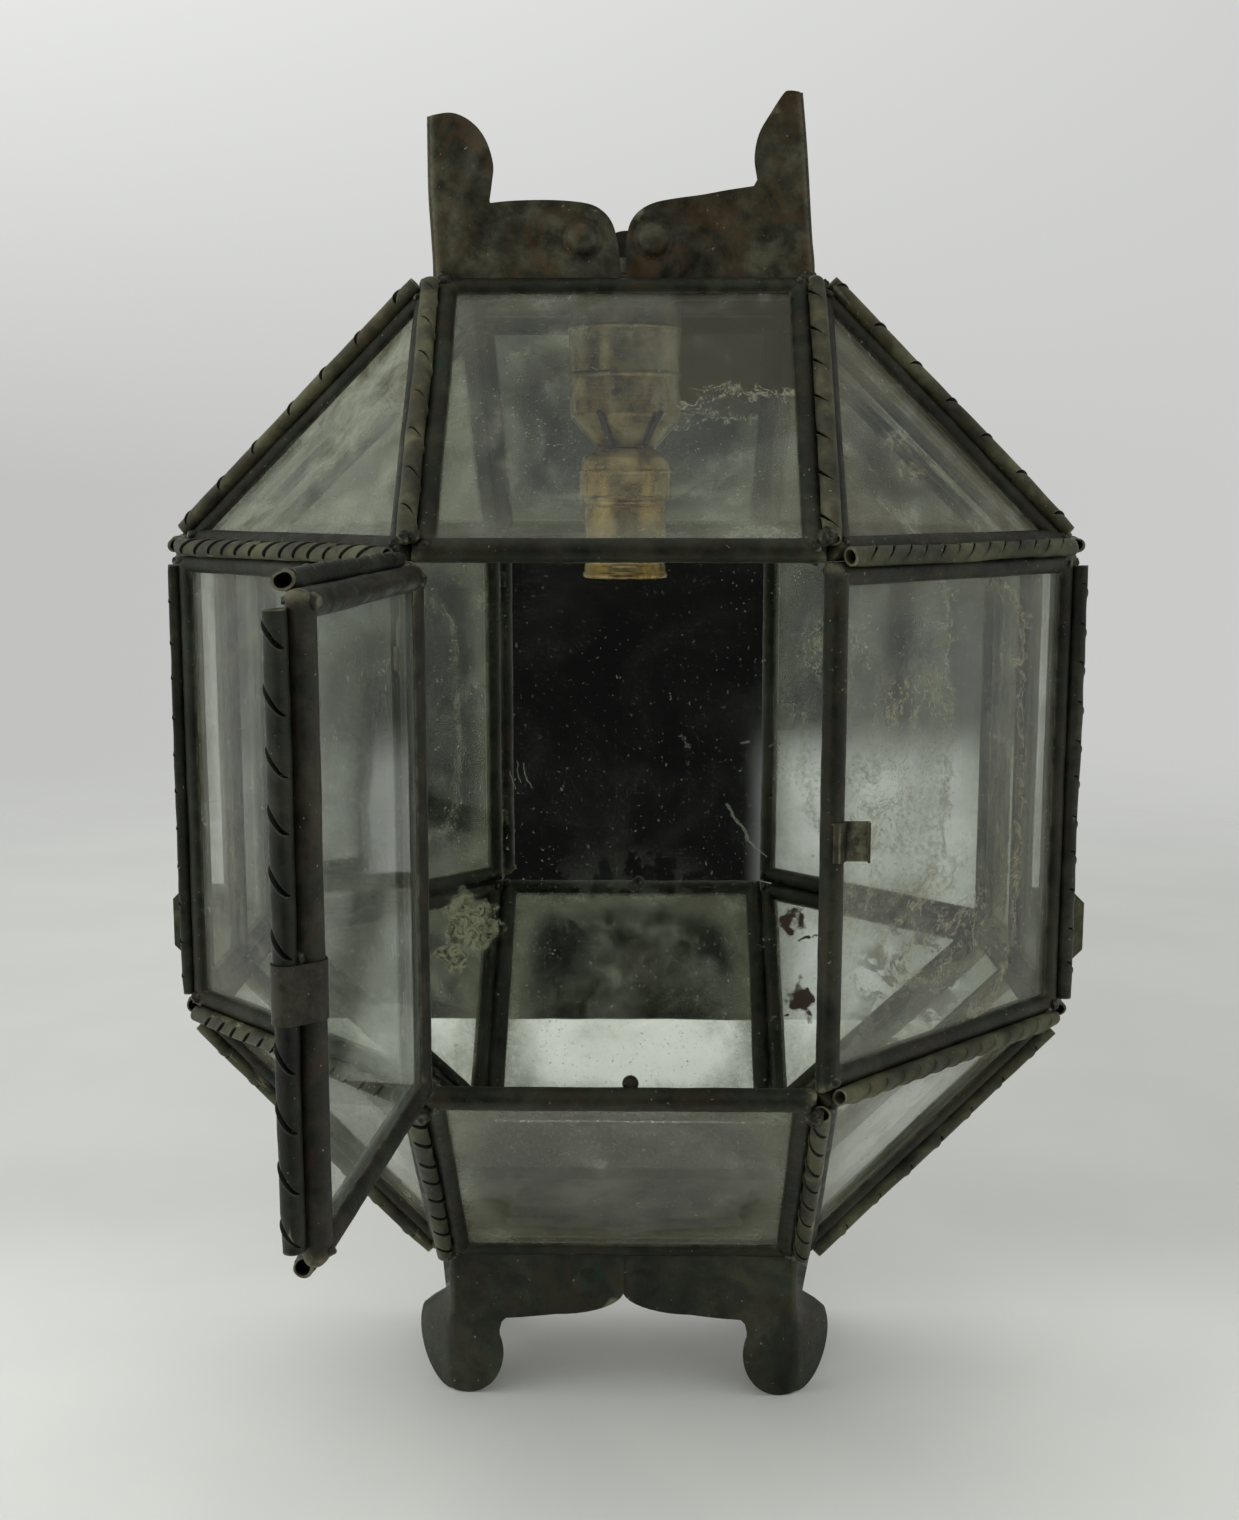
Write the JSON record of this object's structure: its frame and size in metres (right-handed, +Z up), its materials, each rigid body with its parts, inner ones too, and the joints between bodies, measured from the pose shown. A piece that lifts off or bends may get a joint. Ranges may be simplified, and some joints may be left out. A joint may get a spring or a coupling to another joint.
{
  "type": "wall lantern",
  "caption": "Half-octagon glazed metal lantern with a mirrored flat back, hinged front door, rolled seam strips, scalloped crown and leaf-footed skirt.",
  "frame": {"origin": "middle of the back plate's wall face, level with the middle of the door opening", "axes": "+X to the viewer's right, +Y into the wall, +Z up"},
  "size_m": [0.3472, 0.277, 0.442],
  "materials": {
    "frame_metal": "dark brown-green patina on folded sheet, satin",
    "strip_metal": "dark olive patina on rolled sheet, satin",
    "crown_metal": "warm brown patina with verdigris, satin",
    "pane_glass": "old clear glass, dusty",
    "mirror_glass": "aged silvering with spots",
    "lamp_brass": "dull brass",
    "screw_brass": "bright brass",
    "insulator": "moulded insulation, matt",
    "wire_cover": "cloth-covered wire",
    "plain_steel": "dull steel"
  },
  "bodies": {
    "lantern": {"back_plate": "frame_metal", "mirror": "mirror_glass", "wall_ears": "frame_metal", "top_plate": "frame_metal", "base_plate": "frame_metal", "front_roof_frame": "frame_metal", "front_lower_frame": "frame_metal", "left_corner_roof_frame": "frame_metal", "left_side_roof_frame": "frame_metal", "left_corner_frame": "frame_metal", "left_side_frame": "frame_metal", "left_corner_lower_frame": "frame_metal", "left_side_lower_frame": "frame_metal", "right_corner_roof_frame": "frame_metal", "right_side_roof_frame": "frame_metal", "right_corner_frame": "frame_metal", "right_side_frame": "frame_metal", "right_corner_lower_frame": "frame_metal", "right_side_lower_frame": "frame_metal", "front_roof_glass": "pane_glass", "front_lower_glass": "pane_glass", "left_corner_roof_glass": "pane_glass", "left_side_roof_glass": "pane_glass", "left_corner_glass": "pane_glass", "left_side_glass": "pane_glass", "left_corner_lower_glass": "pane_glass", "left_side_lower_glass": "pane_glass", "right_corner_roof_glass": "pane_glass", "right_side_roof_glass": "pane_glass", "right_corner_glass": "pane_glass", "right_side_glass": "pane_glass", "right_corner_lower_glass": "pane_glass", "right_side_lower_glass": "pane_glass", "upper_girdle_strips": "strip_metal", "lower_girdle_strips": "strip_metal", "roof_hip_strips": "strip_metal", "lower_hip_strips": "strip_metal", "corner_strips": "strip_metal", "crown_left": "crown_metal", "crown_right": "crown_metal", "skirt_left": "crown_metal", "skirt_right": "crown_metal", "rear_feet": "crown_metal", "canopy_cup": "lamp_brass", "lamp_nipple": "plain_steel", "socket_cap": "lamp_brass", "socket_shell": "lamp_brass", "screw_shell": "screw_brass", "socket_insulator": "insulator", "wire_leads": "wire_cover", "jamb_knuckles": "frame_metal", "hinge_pins": "plain_steel", "catch_plate": "frame_metal", "door_stop": "frame_metal"},
    "door": {"door_frame": "frame_metal", "door_glass": "pane_glass", "door_strips": "strip_metal", "door_knuckles": "frame_metal", "door_clip": "frame_metal"}
  },
  "joints": [
    {"name": "door_hinge", "type": "hinge", "parent": "lantern", "child": "door", "pos_m": [-0.06161, -0.15288, 0], "axis": [0, 0, 1], "range_deg": [-55, 95]}
  ]
}
